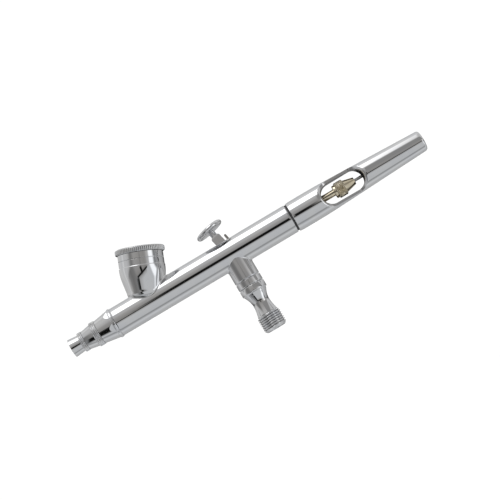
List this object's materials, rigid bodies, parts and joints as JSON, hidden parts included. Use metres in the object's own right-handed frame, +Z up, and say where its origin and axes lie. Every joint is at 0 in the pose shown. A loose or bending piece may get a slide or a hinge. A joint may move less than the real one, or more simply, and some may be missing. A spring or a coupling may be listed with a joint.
{
  "type": "airbrush gun",
  "caption": "Dual-action gravity-feed airbrush: slim barrel with leaning lidded paint cup, finger-disc trigger, threaded air valve below and a tapered cut-away handle.",
  "frame": {"origin": "on the air inlet's axis, at the middle of its thread", "axes": "+X from the nose to the tail along the barrel, +Z up through the trigger and the cup, +Y to the side; the hose leaves along -Z"},
  "size_m": [0.1601, 0.0198, 0.0584],
  "materials": {
    "chrome_plate": "mirror-bright plating",
    "pale_brass": "turned, thin nickel tint",
    "yellow_brass": "turned",
    "stainless_steel": "ground",
    "spring_steel": "drawn wire",
    "white_ptfe": "waxy",
    "black_rubber": "matt"
  },
  "bodies": {
    "barrel": {"airbrush_body": "chrome_plate", "paint_cup": "chrome_plate", "head_base": "chrome_plate", "head_seal": "white_ptfe", "fluid_nozzle": "yellow_brass", "needle_packing": "white_ptfe", "packing_screw": "yellow_brass", "foot_seal": "white_ptfe", "needle_spring": "spring_steel", "valve_casing": "chrome_plate", "casing_seal": "black_rubber", "valve_spring": "spring_steel", "valve_guide_screw": "yellow_brass"},
    "lid": {"cup_lid": "chrome_plate"},
    "nozzle_cap": {"nozzle_cap": "chrome_plate"},
    "needle_cap": {"needle_cap": "chrome_plate"},
    "trigger_foot": {"trigger_foot": "yellow_brass", "trigger_pin": "stainless_steel"},
    "trigger": {"trigger": "chrome_plate"},
    "back_lever": {"back_lever": "stainless_steel"},
    "valve_plunger": {"valve_plunger": "yellow_brass", "plunger_seal": "black_rubber"},
    "needle_carriage": {"needle_guide": "pale_brass"},
    "needle": {"needle": "stainless_steel"},
    "chuck_nut": {"chuck_nut": "pale_brass"},
    "spring_case": {"spring_case": "pale_brass"},
    "handle_ring": {"handle_seal": "black_rubber"},
    "handle": {"handle": "chrome_plate"}
  },
  "joints": [
    {"name": "lid_lift", "type": "slide", "parent": "barrel", "child": "lid", "axis": [0.3746, 0, 0.9272], "range_m": [0, 0.025]},
    {"name": "nozzle_cap_turn", "type": "hinge", "parent": "barrel", "child": "nozzle_cap", "pos_m": [-0.0604, 0, 0.03035], "axis": [-1, 0, 0], "range_deg": [0, 1440]},
    {"name": "needle_cap_turn", "type": "hinge", "parent": "nozzle_cap", "child": "needle_cap", "pos_m": [-0.0669, 0, 0.03035], "axis": [-1, 0, 0], "range_deg": [0, 1440]},
    {"name": "trigger_press", "type": "slide", "parent": "barrel", "child": "trigger_foot", "axis": [0, 0, -1], "range_m": [0, 0.002], "stiffness_N_per_m": 300, "springref_m": -0.002},
    {"name": "trigger_pull", "type": "hinge", "parent": "trigger_foot", "child": "trigger", "pos_m": [0, 0, 0.02735], "axis": [0, 1, 0], "range_deg": [0, 22], "stiffness_Nm_per_rad": 0.02, "springref_deg": -17.19},
    {"name": "back_lever_swing", "type": "hinge", "parent": "barrel", "child": "back_lever", "pos_m": [0.0033, 0, 0.02795], "axis": [0, 1, 0], "range_deg": [0, 20.8]},
    {"name": "valve_open", "type": "slide", "parent": "barrel", "child": "valve_plunger", "axis": [0, 0, -1], "range_m": [0, 0.002], "deforming": ["valve_spring"]},
    {"name": "needle_pull", "type": "slide", "parent": "barrel", "child": "needle_carriage", "axis": [1, 0, 0], "range_m": [0, 0.00185], "deforming": ["needle_spring"]},
    {"name": "needle_withdraw", "type": "slide", "parent": "needle_carriage", "child": "needle", "axis": [1, 0, 0], "range_m": [0, 0.012]},
    {"name": "chuck_nut_turn", "type": "hinge", "parent": "needle_carriage", "child": "chuck_nut", "pos_m": [0.05, 0, 0.03035], "axis": [1, 0, 0], "range_deg": [0, 720]},
    {"name": "spring_case_turn", "type": "hinge", "parent": "barrel", "child": "spring_case", "pos_m": [0.03, 0, 0.03035], "axis": [1, 0, 0], "range_deg": [0, 1080]},
    {"name": "handle_unscrew", "type": "hinge", "parent": "barrel", "child": "handle_ring", "pos_m": [0.02757, 0, 0.03035], "axis": [1, 0, 0], "range_deg": [0, 2700]},
    {"name": "handle_advance", "type": "slide", "parent": "handle_ring", "child": "handle", "axis": [1, 0, 0], "range_m": [0, 0.00562]}
  ],
  "couplings": [
    {"joint": "valve_open", "follows": "trigger_press", "ratio": 1},
    {"joint": "trigger_pull", "follows": "needle_pull", "rad_per_m": 207.55},
    {"joint": "back_lever_swing", "follows": "needle_pull", "rad_per_m": 195.1},
    {"joint": "handle_unscrew", "follows": "handle_advance", "rad_per_m": 8377.6}
  ]
}
